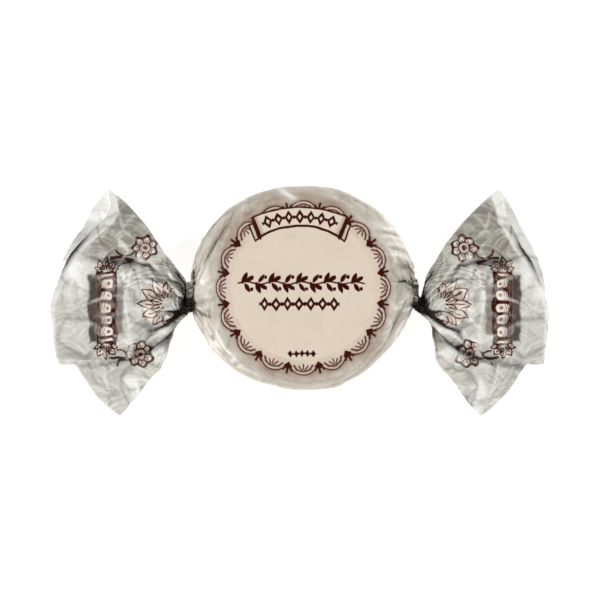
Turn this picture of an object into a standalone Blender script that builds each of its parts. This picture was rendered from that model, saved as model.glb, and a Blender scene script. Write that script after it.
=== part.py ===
"""A coconut mantecado in its printed paper, twisted shut at both ends.

The round biscuit can't be seen: the paper is drawn tight over it, gathered into a twisted neck at each
end, and opens out beyond the neck into a flat fan of two pleated layers. It is all one sheet of paper
round one biscuit, so it is one solid. It lies on its flat base with the label side up.

+X runs along the wrapper, +Z up. Sizes below are in millimetres, and angles in degrees.
"""

import math

import bmesh
import bpy

MM = 0.001

# The wrapped biscuit, an oval drum whose ends draw in to the necks
BODY_CENTRE_X = 0.85
BODY_CENTRE_Y = 3.05
BODY_HALF_LENGTH = 27.6
BODY_HALF_WIDTH = 24.8
BODY_HEIGHT = 16.6
BODY_SQUARENESS = 9.0  # power of the superellipse across the middle
NECK_ROUNDNESS = 2.1  # and where it meets the neck
ROUNDING_FROM = 0.45  # shares of the half length between which the section turns round
ROUNDING_TO = 0.97
END_BLUNTNESS = 0.985  # share of the full oval at which the drum stops short
END_FLATNESS = 14.0  # how long the top stays level before it falls to the neck
NECK_PULL = 0.5  # how far each end of the drum is drawn sideways to its neck
NECK_PULL_POWER = 10
BASE_PRESS = 0.16  # how much of the rounded base is pressed flat by its own weight

# The twisted necks
NECK_RADIUS = 2.0
NECK_HEIGHT = 7.6
NECK_PLEATS = 13
NECK_PLEAT_DEPTH = 0.3
NECK_TWIST = 150.0
NECK_TWIST_REACH = 0.12  # share of the fan that the twist runs into
CRIMP_REACH = 0.16  # share of the fan over which the neck's pleats fade
BODY_PLEAT_DEPTH = 0.75  # pleats that run over the drum's rim to the neck
BODY_PLEATS_FROM = 0.7
BODY_PLEATS_FULL = 0.93

# The fans: two pleated layers of paper that spread from the neck
FAN_HALF_GAP = 3.3
FAN_PINCH = 0.9  # the layers lie closer together halfway out
FAN_DROOP = 0.9
FAN_REACH = 32.0
FAN_SQUARENESS = 2.7
HOLLOW_FROM = 0.36  # share of the reach where the two layers part
HOLLOW_FLOOR = 0.29
PAPER_THICKNESS = 0.7  # stiff enough for a solid; the real sheet is far thinner
EDGE_WALL = 1.7  # thickness at the fans' folded sides, as a multiple of the paper's

# Radial folds of each layer: angle at the neck and at the edge, rise at the neck and at the edge, half width
FRONT_FOLDS = (
    (48.0, 43.0, 0.3, 0.7, 9.0),
    (37.0, 31.0, -0.5, -0.9, 9.0),
    (27.0, 19.0, 1.2, 0.8, 8.0),
    (14.0, 8.0, -0.6, -0.4, 8.0),
    (-4.0, -6.0, 0.6, 1.4, 13.0),
    (-20.0, -15.0, -0.4, -0.2, 6.0),
    (-30.0, -22.0, 1.1, 1.0, 6.0),
    (-48.0, -42.0, 0.4, 0.7, 8.0),
)
BACK_FOLDS = (
    (43.0, 38.0, -0.5, -1.2, 10.0),
    (24.0, 21.0, 0.6, 1.0, 9.0),
    (4.0, 5.0, -0.8, -1.5, 11.0),
    (-13.0, -14.0, 0.5, 1.0, 9.0),
    (-30.0, -31.0, -0.7, -1.2, 10.0),
    (-45.0, -44.0, 0.3, 0.7, 8.0),
)
FOLDS_FULL_FROM = 0.25
FOLD_ROUNDING = 0.06
LAP_ANGLE_AT_NECK = -29.0  # the sheet's free edge, which laps over the layer below
LAP_ANGLE_AT_EDGE = -25.0
LAP_DROP = 1.5
LAP_WIDTH = 4.0
LAP_FULL_FROM = 0.3

# Each end of the wrapper: which side it lies on and where its neck is; the angle of the fan's upper and lower
# sides at each share of the reach; and how far each layer reaches at each angle
ENDS = {
    "left": {
        "side": -1.0,
        "neck": (-27.35, -1.4),
        "top": (
            (0.0, 88.0),
            (0.09, 85.0),
            (0.22, 70.0),
            (0.37, 62.5),
            (0.58, 60.0),
            (0.82, 56.3),
            (1.0, 53.7),
        ),
        "bottom": (
            (0.08, -43.0),
            (0.23, -54.5),
            (0.37, -59.0),
            (0.51, -62.0),
            (0.62, -57.3),
            (0.86, -56.0),
            (1.0, -55.3),
        ),
        "front": (
            (-55.3, 29.7),
            (-45.4, 30.2),
            (-30.5, 30.7),
            (-26.2, 31.0),
            (-24.0, 34.6),
            (-5.8, 33.8),
            (-0.8, 33.9),
            (4.2, 32.9),
            (8.1, 32.3),
            (22.6, 30.1),
            (40.3, 28.4),
            (48.0, 29.6),
            (53.7, 32.9),
        ),
        "back": (
            (-55.3, 29.7),
            (-40.4, 30.2),
            (-25.6, 31.6),
            (-10.7, 33.3),
            (4.2, 33.7),
            (14.1, 32.6),
            (24.0, 32.0),
            (38.8, 32.1),
            (53.7, 32.9),
        ),
    },
    "right": {
        "side": 1.0,
        "neck": (30.05, -1.45),
        "top": (
            (0.0, 76.0),
            (0.16, 76.0),
            (0.29, 68.7),
            (0.5, 64.4),
            (0.73, 59.5),
            (1.0, 54.3),
        ),
        "bottom": (
            (0.08, -40.6),
            (0.22, -61.4),
            (0.42, -70.0),
            (0.58, -66.5),
            (0.68, -62.3),
            (0.84, -61.9),
            (1.0, -58.9),
        ),
        "front": (
            (-58.9, 28.5),
            (-38.5, 28.6),
            (-28.2, 28.9),
            (-25.5, 32.9),
            (-17.9, 32.0),
            (-7.6, 31.2),
            (-2.5, 31.2),
            (2.6, 30.6),
            (12.9, 29.3),
            (28.3, 27.9),
            (43.7, 28.9),
            (54.3, 32.4),
        ),
        "back": (
            (-58.9, 28.5),
            (-43.6, 28.4),
            (-28.2, 29.8),
            (-12.8, 31.0),
            (2.6, 30.9),
            (18.0, 29.9),
            (33.5, 30.5),
            (48.9, 32.3),
            (54.3, 32.4),
        ),
    },
}

# Steps of the mesh
STEPS_ROUND = 72
BODY_STEPS = 30
FAN_STEPS = 14
FAN_CROWDING = 1.4  # draws the fan's rings towards the neck
HOLLOW_STEPS = 6
WELD_DISTANCE = 0.01

PAPER_COLOUR = (0.62, 0.58, 0.53, 1.0)
PAPER_ROUGHNESS = 0.45
SHARP_ANGLE = 40.0


def smooth(share):
    """Eases from 0 to 1 as share goes from 0 to 1."""
    share = min(max(share, 0.0), 1.0)
    return share * share * (3.0 - 2.0 * share)


def mix(start, end, share):
    return start + (end - start) * share


def signed_power(value, power):
    return math.copysign(abs(value) ** power, value)


def reading(table, place):
    """What a table of (place, value) gives at this place."""
    if place <= table[0][0]:
        return table[0][1]
    for (low, start), (high, end) in zip(table, table[1:]):
        if place <= high:
            return mix(start, end, (place - low) / (high - low))
    return table[-1][1]


def tent(off):
    """A straight-sided fold with a barely rounded crest: about 1 high at off 0, and gone at off 1."""
    return max(0.0, 1.0 + FOLD_ROUNDING - math.hypot(off, FOLD_ROUNDING))


def pleat(turn):
    """Height of the gathered pleats round the neck, from -1 to 1, unevenly spaced."""
    uneven = 0.9 * math.sin(3 * turn + 1.3) + 0.7 * math.sin(5 * turn + 0.4)
    depth = 0.8 + 0.2 * math.sin(4 * turn + 2.0)
    return depth * math.cos(NECK_PLEATS * turn + uneven)


def drawn_in(full, share):
    """A half size of the drum where the oval has drawn in to this share of it, never less than the neck."""
    return math.sqrt((full * full - NECK_RADIUS * NECK_RADIUS) * share + NECK_RADIUS * NECK_RADIUS)


def body_point(along, turn, end):
    """A point of the drum: along runs from -1 to 1 between its ends, and turn goes round the X axis."""
    far = abs(along)
    blunt = END_BLUNTNESS * far
    half_width = drawn_in(BODY_HALF_WIDTH, 1.0 - blunt**2)
    half_height = drawn_in(BODY_HEIGHT / 2, 1.0 - blunt**END_FLATNESS)
    rounded = smooth((far - ROUNDING_FROM) / (ROUNDING_TO - ROUNDING_FROM))
    power = mix(BODY_SQUARENESS, NECK_ROUNDNESS, rounded)
    y = half_width * signed_power(math.cos(turn), 2.0 / power)
    z = half_height * signed_power(math.sin(turn), 2.0 / power)
    gathered = smooth((far - BODY_PLEATS_FROM) / (BODY_PLEATS_FULL - BODY_PLEATS_FROM))
    swell = 1.0 + BODY_PLEAT_DEPTH * gathered * pleat(turn) / math.hypot(y, z)
    pull = NECK_PULL * far**NECK_PULL_POWER
    centre_y = mix(BODY_CENTRE_Y, end["neck"][1], pull)
    centre_z = mix(BODY_HEIGHT / 2, NECK_HEIGHT, pull) - BASE_PRESS
    return (
        BODY_CENTRE_X + BODY_HALF_LENGTH * along,
        centre_y + y * swell,
        max(centre_z + z * swell, 0.0),
    )


def folds_rise(folds, angle, share):
    """Height that the radial folds add to a layer at this angle and share of the reach."""
    rise = 0.0
    for neck_angle, edge_angle, neck_rise, edge_rise, half_width in folds:
        middle = mix(neck_angle, edge_angle, share)
        rise += mix(neck_rise, edge_rise, share) * tent((angle - middle) / half_width)
    return rise * smooth(share / FOLDS_FULL_FROM)


def lap_rise(angle, share):
    """How much lower the front layer lies on the far side of the sheet's free edge."""
    edge = mix(LAP_ANGLE_AT_NECK, LAP_ANGLE_AT_EDGE, share)
    below = 1.0 - smooth((angle - edge) / LAP_WIDTH + 0.5)
    return -LAP_DROP * below * smooth(share / LAP_FULL_FROM)


def fan_point(share, turn, end, inset):
    """A point of a fan: share runs from 0 at the neck to 1 at the edge. inset moves it to the inner face."""
    front = turn <= math.pi
    across = 1.0 - 2.0 * turn / math.pi if front else 2.0 * turn / math.pi - 3.0
    spread = mix(math.cos(turn), across, smooth(share / LAP_FULL_FROM))
    power = mix(2.0, FAN_SQUARENESS, smooth(2.0 * share))
    up = (1.0 - abs(spread) ** power) ** (1.0 / power)
    fold_share = 1.0 - abs(spread) ** 6
    if inset:
        spread *= 1.0 - EDGE_WALL * inset / (share * FAN_REACH)
    lane = (spread + 1.0) / 2.0
    bottom, top = end["bottom"], end["top"]
    edge_angle = mix(bottom[-1][1], top[-1][1], lane)
    direction = math.radians(mix(reading(bottom, share), reading(top, share), lane))
    reach = share * reading(end["front" if front else "back"], edge_angle)
    folds = folds_rise(FRONT_FOLDS if front else BACK_FOLDS, edge_angle, share)
    if front:
        folds += lap_rise(edge_angle, share)
    half_gap = mix(NECK_RADIUS, FAN_HALF_GAP, smooth(share)) - FAN_PINCH * math.sin(math.pi * share)
    twist = math.radians(NECK_TWIST) * smooth(share / NECK_TWIST_REACH)
    crimp = NECK_PLEAT_DEPTH * math.exp(-share / CRIMP_REACH)
    swell = 1.0 + crimp * pleat(turn + twist) / NECK_RADIUS
    height = (half_gap - inset) * (up if front else -up) * swell
    height += folds * fold_share
    return (
        end["neck"][0] + end["side"] * reach * math.cos(direction),
        end["neck"][1] + NECK_RADIUS * spread * swell + reach * math.sin(direction),
        NECK_HEIGHT - FAN_DROOP * share * share + height,
    )


def fan_stations(end):
    """The rings of one fan from the bottom of its hollow out to the edge, then back along its outside."""
    inner = [
        (mix(HOLLOW_FROM, 1.0, step / HOLLOW_STEPS), PAPER_THICKNESS)
        for step in range(HOLLOW_STEPS + 1)
    ]
    outer = [(1.0 - (step / FAN_STEPS) ** FAN_CROWDING, 0.0) for step in range(FAN_STEPS + 1)]
    return [
        lambda turn, share=share, inset=inset: fan_point(share, turn, end, inset)
        for share, inset in inner + outer
    ]


def hollow_floor(end):
    """The point where the two layers of a fan meet at the bottom of its hollow."""
    neck_x, neck_y = end["neck"]
    point = (neck_x + end["side"] * HOLLOW_FLOOR * FAN_REACH, neck_y, NECK_HEIGHT)
    return lambda turn: point


def body_stations():
    """The rings of the drum, closest together where it narrows to the necks."""
    rings = []
    for step in range(BODY_STEPS + 1):
        along = -math.cos(math.pi * step / BODY_STEPS)
        end = ENDS["left" if along < 0.0 else "right"]
        rings.append(lambda turn, along=along, end=end: body_point(along, turn, end))
    return rings


def wrapper_mesh(stations):
    """Rolls a flat grid into a tube: one row of it goes to each station, and its two long sides meet."""
    last = len(stations) - 1
    bm = bmesh.new()
    bmesh.ops.create_grid(bm, x_segments=last, y_segments=STEPS_ROUND, size=0.5)
    for vert in bm.verts:
        station = stations[round((vert.co.x + 0.5) * last)]
        step = round((vert.co.y + 0.5) * STEPS_ROUND) % STEPS_ROUND
        x, y, z = station(2.0 * math.pi * step / STEPS_ROUND)
        vert.co = (x * MM, y * MM, z * MM)
    bmesh.ops.remove_doubles(bm, verts=bm.verts, dist=WELD_DISTANCE * MM)
    bmesh.ops.triangulate(bm, faces=bm.faces)
    bmesh.ops.recalc_face_normals(bm, faces=bm.faces)
    if bm.calc_volume(signed=True) < 0.0:
        bmesh.ops.reverse_faces(bm, faces=bm.faces)
    mesh = bpy.data.meshes.new("wrapped_mantecado")
    bm.to_mesh(mesh)
    bm.free()
    mesh.shade_smooth()
    mesh.set_sharp_from_angle(angle=math.radians(SHARP_ANGLE))
    return mesh


def paper_material():
    material = bpy.data.materials.new("printed_paper")
    material.use_nodes = True
    shader = material.node_tree.nodes["Principled BSDF"]
    shader.inputs["Base Color"].default_value = PAPER_COLOUR
    shader.inputs["Roughness"].default_value = PAPER_ROUGHNESS
    shader.inputs["Metallic"].default_value = 0.0
    return material


def build():
    for old in list(bpy.data.objects):
        bpy.data.objects.remove(old)
    left, right = ENDS["left"], ENDS["right"]
    stations = [
        hollow_floor(left),
        *fan_stations(left),
        *body_stations(),
        *reversed(fan_stations(right)),
        hollow_floor(right),
    ]
    wrapper = bpy.data.objects.new("wrapped_mantecado", wrapper_mesh(stations))
    wrapper.data.materials.append(paper_material())
    bpy.context.scene.collection.objects.link(wrapper)


build()
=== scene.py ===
"""The look of a coconut mantecado in its printed paper, twisted shut at both ends.

The biscuit's paper is one closed surface, and each fan is one sheet of thin paper. The sheet starts at a
free edge on the front, goes up over the top fold, down behind, round the bottom fold and up again under the
front layer. The print is drawn by the material, from coordinates in millimetres in each piece's UV map.

Sizes below are in millimetres, and angles in degrees, but a turn or a way is in radians. +X runs along the
wrapper, +Z up. A span is a pair of values: ease() goes from 0 at the first of them to 1 at the second.
"""

import math
from functools import partialmethod

import bmesh
import bpy
import numpy as np
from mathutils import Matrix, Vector


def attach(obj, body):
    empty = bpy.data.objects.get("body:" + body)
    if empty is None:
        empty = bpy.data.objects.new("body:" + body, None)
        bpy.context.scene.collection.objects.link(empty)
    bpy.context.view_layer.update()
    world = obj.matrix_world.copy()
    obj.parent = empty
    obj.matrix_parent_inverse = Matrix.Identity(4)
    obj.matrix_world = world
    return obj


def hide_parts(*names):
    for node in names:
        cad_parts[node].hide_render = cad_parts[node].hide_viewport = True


MM = 0.001

# The wrapped biscuit, an oval drum whose ends draw in to the necks. Along it, places go from -1 to 1
BODY_CENTRE = (0.85, 3.05)
BODY_HALF_LENGTH = 27.6
BODY_HALF_WIDTH = 24.8
BODY_HEIGHT = 16.6
BODY_MIDDLE = 0.5 * BODY_HEIGHT
BODY_SQUARENESS = 9
BASE_PRESS = 0.16
NECK_ROUNDNESS = 2.1
ROUNDING = (0.45, 0.97)
END_BLUNTNESS = 0.985
END_FLATNESS = 14
NECK_PULL_POWER = 10

# How far the photograph's outline of the biscuit swells from an oval, by direction from its middle, and the
# spans of the radius and of the length over which it does
OUTLINE_SWELL = (
    (-180, 0), (-154, -0.2), (-130, 0.3), (-106, 0.1), (-84, 0.5), (-72, 0.8), (-62, 0.3),
    (-46, -0.5), (-28, -0.8), (-14, -0.3), (2, 0.3), (10, 0.8), (20, 0.5), (30, 0), (49, 0.1),
    (70, 0.3), (91, 0), (110, 0.3), (126, 0.2), (147, 0.4), (162, 0.5), (180, 0),
)
SWELL_RADIUS = (20, 24)
SWELL_LENGTH = (BODY_HALF_LENGTH + 0.4, BODY_HALF_LENGTH - 0.8)

# The twisted necks, and the rings that close the drum's paper there: radius, and how far out
NECK_RADIUS = 2
NECK_HEIGHT = 7.6
NECK_PLEATS = 13
NECK_FINE_PLEATS = 31
NECK_PLEAT_DEPTH = 0.36
NECK_TWIST = 110
NECK_TWIST_SPAN = (0, 0.12)
CRIMP_REACH = 0.24
NECK_END = ((1.7, 0), (1.5, 0.6), (0.001, 1))
# Distance from the neck over which the knot's painted shade fades out
KNOT_SHADE_SPAN = (1.3, 2.7)

# Pleats of the drum's ends
PLEAT_DEPTH = 0.7
PLEAT_SINK = 0.4
PLEATS_GROW = (0.7, 0.93)
PLEATS_FLATTEN = (0.94, 1)
FLAT_PLEATS = 0.55
FINE_PLEATS_GROW = (0.74, 0.94)
FINE_PLEATS_DEEPEN = (0.95, 1)
FINE_PLEAT_DEPTHS = (0.14, 0.3)

# The label's middle, and how the paper wraps from it over the rim
LABEL_CENTRE = (1.06, 2.82)
LABEL_TOP = BODY_HEIGHT - BASE_PRESS
WRAP_RADIUS = 26
WRAP_BELOW = (BODY_MIDDLE, BODY_MIDDLE - 2)

# Where the drum's paper is loose, on its end faces, off the knots, calm on top, creased, on the table and on
# the rim: by radius, share of the length, height or distance along the paper
LOOSE = (19, 23.5)
END_FACE = (0.8, 0.95)
OFF_KNOT = (1.06, 0.96)
CALM_TOP = (BODY_MIDDLE, BODY_MIDDLE + 3)
CREASED_TOP = (0.45 * BODY_HEIGHT, 0.45 * BODY_HEIGHT + 3)
CREASED_END = (NECK_HEIGHT, NECK_HEIGHT + 0.8)
ON_TABLE = (1.2, 0.2)
RIM = (31, 25)
RIM_SEAM = (math.pi, math.pi - 0.3)

# How far the paper sinks where it is loose and on its end faces, and the share of its crumples and of their
# creases that the label keeps
LOOSE_SINK = 0.12
END_FACE_SINK = 0.5
LABEL_RELIEF = 0.05
LABEL_CREASE = 0.1

# Crumples of each paper: size, seed, height, and how sharp their creases look
BODY_CRUMPLES = ((5.6, 1, 0.5, 0.45), (2.4, 2, 0.24, 0.3))
FAN_CRUMPLES = ((6.4, 3, 0.62, 0.5), (2.7, 4, 0.26, 0.3))
FAN_GATHER_SEED = 5
BODY_GATHER_SEED = 6
HOOP_SEED = 7
HEIGHTS_SHAPE = (61, 67)
TRIANGLE_HEIGHT = 0.5 * math.sqrt(3)
CREASE_WIDTH = 0.36
# How much shade is painted into the crumples' valleys
FOLD_SHADE = 0.45
# How white the crumples' ridges turn, partly as worn wax and partly as painted highlight
FOLD_WEAR_AND_HIGHLIGHT = 0.6

# Height of the wrinkles round the rim and of the gathers, and how sharp their creases look
HOOP_HEIGHT = 0.2
HOOP_CREASE = 0.5
BODY_GATHER_HEIGHT = 0.55
FAN_GATHER_HEIGHT = 0.5
GATHER_CREASE = 0.8

# The gathers round each knot of the drum grow over one span of distance from it and fade over another, and
# so do their creases. The shade painted into their deepest valleys fades over a span of its own
BODY_GATHERS = ((0, 5), (24, 9))
BODY_GATHER_CREASES = ((1, 4), (22, 10))
BODY_GATHER_SHADE = (18, 9)

# How each placed crease falls off to its sides and its ends, and where in it the line of painted shade is
CREASE_SHARPNESS = 1.15
CREASE_ENDS = (0.03, 0.97)
CREASE_END_POWER = 0.6
CREASE_SHADE_DEPTHS = (0.35, 0.85)

# The fans
FAN_HALF_GAP = 3.3
FAN_PINCH = 0.9
FAN_DROOP = 0.9
FAN_SQUARENESS = 2.7
FAN_SQUARE_FROM = (0, 0.5)
FAN_SIDE_POWER = 6
PAPER_THICKNESS = 0.1

# Radial folds of each layer: angle at the neck and at the edge, rise at the neck and at the edge, half width
FRONT_FOLDS = (
    (48, 43, 0.3, 0.7, 9),
    (37, 31, -0.5, -0.9, 9),
    (27, 19, 1.2, 0.8, 8),
    (14, 8, -0.6, -0.4, 8),
    (-4, -6, 0.6, 1.4, 13),
    (-20, -15, -0.4, -0.2, 6),
    (-30, -22, 1.1, 1, 6),
    (-48, -42, 0.4, 0.7, 8),
)
BACK_FOLDS = (
    (43, 38, -0.5, -1.2, 10),
    (24, 21, 0.6, 1, 9),
    (4, 5, -0.8, -1.5, 11),
    (-13, -14, 0.5, 1, 9),
    (-30, -31, -0.7, -1.2, 10),
    (-45, -44, 0.3, 0.7, 8),
)
FOLDS_GROW = (0, 0.25)
FOLD_ROUNDING = 0.06

# The free edge that laps over the flap below it, and how far up under it the flap reaches
LAP_DROP = 1.5
LAP_SPAN = (0, 0.16)
LAP_START = ((0, -45), (0.2, -50), (0.36, -48), (0.47, -43.5), (0.6, -37))
FLAP_END_ANGLE = -8

# How the free edge rolls: distance in from it, half width and height. The spans are of the fan's reach
EDGE_ROLL = ((1.5, 0.8, 1), (3.2, 0.9, -0.35), (0, 0.5, -0.2))
EDGE_ROLL_SPANS = ((0, 0.2), (1.15, 0.75))
# Where along the reach the painted shade along the free edge and its painted shadow on the flap show
EDGE_SHADE_SPANS = ((0, 0.2), (1, 0.4))

# The shade painted into the valleys of the neck's pleats: from what depth, how far out, and the heights over
# which it fades
PLEAT_SHADE_FROM = 0.2
PLEAT_SHADE_REACH = 0.12
PLEAT_SHADE_FADE = (1, 3.5)

# The shadow painted as a dark line inside the front layer's cut edge: its width, the angle of its middle and
# half its length
CUT_EDGE_WIDTH = 1.05
CUT_EDGE_MIDDLE = 24
CUT_EDGE_HALF = 12

# Where the fans' crumples, gathers and gather creases grow, by share of the reach, and where the gather
# creases and the shade painted into the gathers' valleys fade, by distance from the neck
FAN_CRUMPLES_GROW = (0.08, 0.38)
FAN_GATHERS_GROW = (0.02, 0.17)
FAN_GATHER_CREASES_GROW = (0.02, 0.12)
FAN_GATHER_CREASES_FADE = (24, 10)
FAN_GATHER_SHADE = (13, 3)

# Height from which the fans' crumples are calmer, on the front layer and on the others, over what height
# they calm, and how much
CALM_FRONT = 16.5
CALM_BEHIND = 4
CALM_OVER = 4
CALM_AMOUNT = 0.65

# Each end of the wrapper. Top and bottom give the angles of the fan's sides by share of its reach, and lap
# that of the free edge. Front, back and flap give each layer's reach by the angle at its cut edge. Pull is
# how far the drum's end follows the neck, and gathers how strong the folds round the knot are
ENDS = {
    "left": {
        "side": -1,
        "pull": 0.3,
        "gathers": 0.45,
        "neck": (-27.35, -1.4),
        "top": ((0, 88), (0.09, 85), (0.22, 69), (0.37, 61.9), (0.58, 60.6), (0.82, 57), (1, 53.9)),
        "bottom": (
            (0.08, -43), (0.23, -55.2), (0.37, -59.4), (0.51, -62.5), (0.62, -60.2), (0.86, -58.6),
            (1, -56.6),
        ),
        "lap": (*LAP_START, (0.8, -30.8), (0.9, -26.5), (1, -23.3)),
        "front": (
            (-26.2, 34.2), (-24, 34.5), (-5.8, 33.5), (-0.8, 33.6), (4.2, 32.9), (8.1, 32.3), (22.6, 30.8),
            (30, 29.8), (38, 28.8), (44.4, 28.2), (50, 29.4), (53.7, 33.3),
        ),
        "back": (
            (-55.3, 30.4), (-44, 30.2), (-36, 30.6), (-25.6, 31.2), (-10.7, 33), (-2, 33.6), (4.2, 34.3),
            (8, 34), (14.1, 33.5), (19, 33.2), (24, 32.8), (30, 32.4), (34, 32.1), (38.8, 32.6), (45, 33),
            (53.7, 33.3),
        ),
        "flap": ((-55.3, 30.4), (-45.4, 30.6), (-30.5, 30.7), (-26.2, 31), (-8, 30.6)),
    },
    "right": {
        "side": 1,
        "pull": 0.1,
        "gathers": 0.6,
        "neck": (30.05, -1.45),
        "top": ((0, 76), (0.16, 76), (0.29, 68), (0.5, 63.7), (0.73, 59), (1, 54.1)),
        "bottom": (
            (0.08, -42), (0.22, -62.6), (0.42, -69.4), (0.58, -66.3), (0.68, -64.3), (0.84, -63.6),
            (1, -60.4),
        ),
        "lap": (*LAP_START, (0.8, -31.5), (1, -24.6)),
        "front": (
            (-28.2, 32.6), (-25.5, 32.9), (-17.9, 32), (-7.6, 31.2), (-2.5, 31.2), (2.6, 30.6), (12.9, 29.3),
            (28.3, 27.9), (43.7, 28.9), (54.3, 33.2),
        ),
        "back": (
            (-58.9, 29.3), (-47, 28.8), (-43.6, 28.7), (-28.2, 29.8), (-12.8, 31), (2.6, 31.4), (7, 31.9),
            (13, 31.7), (18, 31.4), (25, 31.3), (33.5, 31.2), (40, 31.8), (46, 32.4), (50, 33), (54.3, 33.3),
        ),
        "flap": ((-58.9, 29.3), (-38.5, 29), (-28.2, 28.9), (-8, 28.4)),
    },
}

# Creases of the paper over the biscuit, seen from above: points, height, reach on the left of the line's
# direction and reach on its right
BODY_CREASES = (
    (((-15.6, 20), (-17.6, 17.8), (-19.8, 14.5), (-21.2, 12.1), (-22.7, 9.6), (-23.8, 7)), -0.5, 0.55, 0.7),
    (((-21.6, 9.6), (-23, 6.2), (-23.9, 3)), 0.3, 1.2, 0.9),
    (((-26, 9.6), (-23.6, 14.8), (-19.8, 19.4), (-14, 23.4)), -0.3, 0.3, 0.5),
    (((-26.3, -1.9), (-23.8, -3.9), (-20.8, -4.1)), -0.5, 1, 0.5),
    (((-26.8, 9.4), (-26.4, 5), (-26.6, -1)), -0.8, 0.4, 0.45),
    (((-5.5, 27.4), (-3.4, 25.9), (-1.9, 25), (-0.6, 24.2)), 0.5, 0.6, 0.6),
    (((17.4, 18.8), (21.4, 16.9), (26, 16.6)), 0.32, 0.35, 0.5),
    (((18.8, 16.8), (22.4, 15.9), (26.8, 14.8)), -0.3, 0.4, 0.4),
    (((18.8, 15.7), (22.4, 15.2), (27, 14)), 0.32, 0.35, 0.45),
    (((20.4, 13.7), (24, 13.2), (27.8, 12.2)), 0.3, 0.35, 0.4),
    (((21.2, 12.6), (24.6, 12), (28, 11.2)), -0.3, 0.4, 0.4),
    (((20.8, 11.3), (24.4, 10.6), (28.4, 9.4)), 0.3, 0.4, 0.5),
    (((22.6, 8.8), (25.2, 8), (27.6, 7.4)), -0.3, 0.9, 0.8),
    (((22.6, 4.3), (26.4, 4.1), (29.2, 3.4), (29.5, 1.5), (29.5, -1.2)), -0.8, 0.7, 0.6),
    (((27, -0.2), (24.2, -4.6), (22, -9.4)), -0.45, 0.5, 0.7),
    (((28, -2.2), (25.6, -5.8), (23.2, -9.6)), 0.35, 0.6, 0.5),
    (((28.2, -3.4), (26.4, -6.8), (24.6, -9)), -0.4, 0.4, 0.5),
)

# Creases of the fans' front layer in the same form, as distances out from the neck and up
FAN_CREASES = (
    (((25.4, 15.4), (20.3, 19.4), (15, 18.8), (9, 16)), -0.24, 0.7, 0.9),
    (((5, 6.6), (9.4, 10), (15, 10.8), (21.7, 11.1), (28, 13)), -0.45, 1.2, 1.8),
    (((2.5, 4.8), (9, 6.6), (17.2, 6.4)), 0.35, 0.6, 0.9),
    (((12, -2), (20, -3.6), (32, -3)), -0.25, 1.2, 1.2),
    (((-1.5, -0.6), (1.7, -2.1), (5.9, -5.2), (10.9, -7.1)), -1, 1.15, 0.95),
    (((-1.5, -0.4), (3.4, -1.6), (5.4, -1.3), (9.4, -1.3)), -0.75, 0.7, 0.8),
    (((1, -1.7), (2.6, -2.2), (4.4, -3.2)), -0.8, 0.9, 0.9),
    (((2, -1.8), (4.9, -3.1), (8.5, -4.6)), 0.9, 0.9, 0.9),
    (((1, 1.4), (4.6, 4.9), (9, 6.5), (17.5, 6.6)), -0.35, 0.4, 0.4),
    (((0.3, 0.4), (0.5, 3), (0.7, 5.2), (1.9, 6.9), (3.4, 9.4)), -0.7, 0.4, 0.4),
    (((16, 2), (24, 6.5), (31, 8)), 0.3, 1, 1),
    (((24.6, 12.6), (26, 6), (25, 0)), 0.2, 1.2, 1.2),
)

# Steps of the meshes
BODY_ROWS = 221
BODY_COLUMNS = 400
SHOULDER_RINGS = 8
SECTION_SAMPLES = 1441
FAN_ROWS = 120
FAN_ROW_CROWDING = 1.6
CROWDING_SAMPLES = 2001
FRONT_COLUMNS = 150
BACK_COLUMNS = 160
FLAP_COLUMNS = 64
WELD_DISTANCE = 0.002

# The fans' columns, and which of them are on the back layer and on the flap
COLUMNS = np.arange(FRONT_COLUMNS + BACK_COLUMNS + FLAP_COLUMNS + 1)
ON_FLAP = COLUMNS > FRONT_COLUMNS + BACK_COLUMNS
ON_BACK = (COLUMNS > FRONT_COLUMNS) & ~ON_FLAP


def ease(value, span):
    """Eases from 0 to 1 as the value goes from the span's first end to its second."""
    share = np.clip((value - span[0]) / (span[1] - span[0]), 0, 1)
    return share * share * (3 - 2 * share)


def within(value, grow, fade):
    """Eases in over one span and out again over another."""
    return ease(value, grow) * ease(value, fade)


def mix(start, end, share):
    return start + (end - start) * share


def reading(table, place):
    """What a table of (place, value) gives at this place."""
    places, values = zip(*table)
    return np.interp(place, places, values)


def tent(off):
    return np.maximum(0, 1 + FOLD_ROUNDING - np.hypot(off, FOLD_ROUNDING))


def bell(off):
    return np.exp(-off * off)


def held(value):
    return np.clip(value, 0, 1)


def ridges(turn, count, phase):
    """Unevenly spaced pleats with narrow crests and round valleys, from -1 to 1."""
    uneven = 0.9 * np.sin(3 * turn + 1.3 + phase) + 0.7 * np.sin(5 * turn + 0.4 + phase)
    depth = 0.8 + 0.2 * np.sin(4 * turn + 2 + phase)
    return depth * (1 - 2 * np.hypot(0.1, np.sin((count * turn + uneven) / 2)))


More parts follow.
